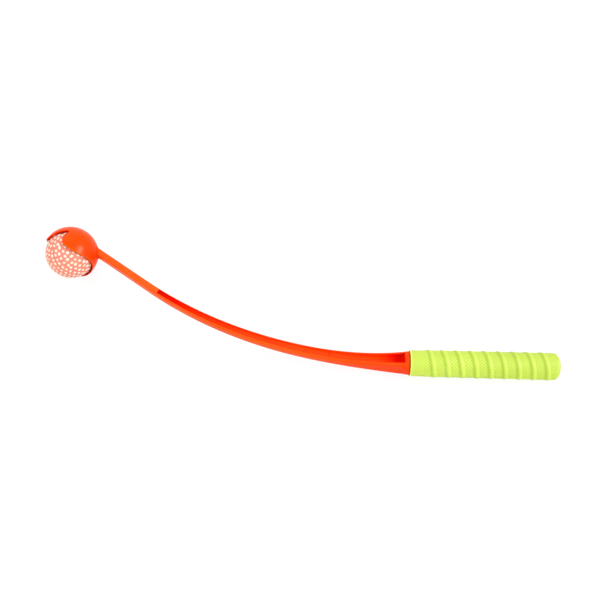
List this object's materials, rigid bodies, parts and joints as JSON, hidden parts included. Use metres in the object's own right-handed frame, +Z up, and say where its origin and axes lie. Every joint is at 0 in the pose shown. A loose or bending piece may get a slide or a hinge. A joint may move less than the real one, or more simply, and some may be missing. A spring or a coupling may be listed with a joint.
{
  "type": "dog ball thrower",
  "caption": "Bowed plastic throwing arm with a lobed ball cup at one end, a rib-wound rubber grip at the other and a dotted rubber ball held in the cup.",
  "frame": {"origin": "centre of the bounding box's underside, on the ground that the thrower lies on", "axes": "+X along the thrower from the ball cup to the grip's butt, +Y towards the hollow side of the bend, +Z up from the ground"},
  "size_m": [0.6366, 0.2164, 0.0697],
  "materials": {
    "arm_plastic": "satin",
    "grip_rubber": "matte",
    "ball_rubber": "matte"
  },
  "bodies": {
    "thrower": {"throwing_arm": "arm_plastic", "grip_sleeve": "grip_rubber"},
    "loose_ball": {"ball": "ball_rubber"}
  },
  "joints": [
    {"name": "ball_release", "type": "slide", "parent": "thrower", "child": "loose_ball", "axis": [-0.5148, -0.8501, -0.1113], "range_m": [0, 0.08]}
  ]
}
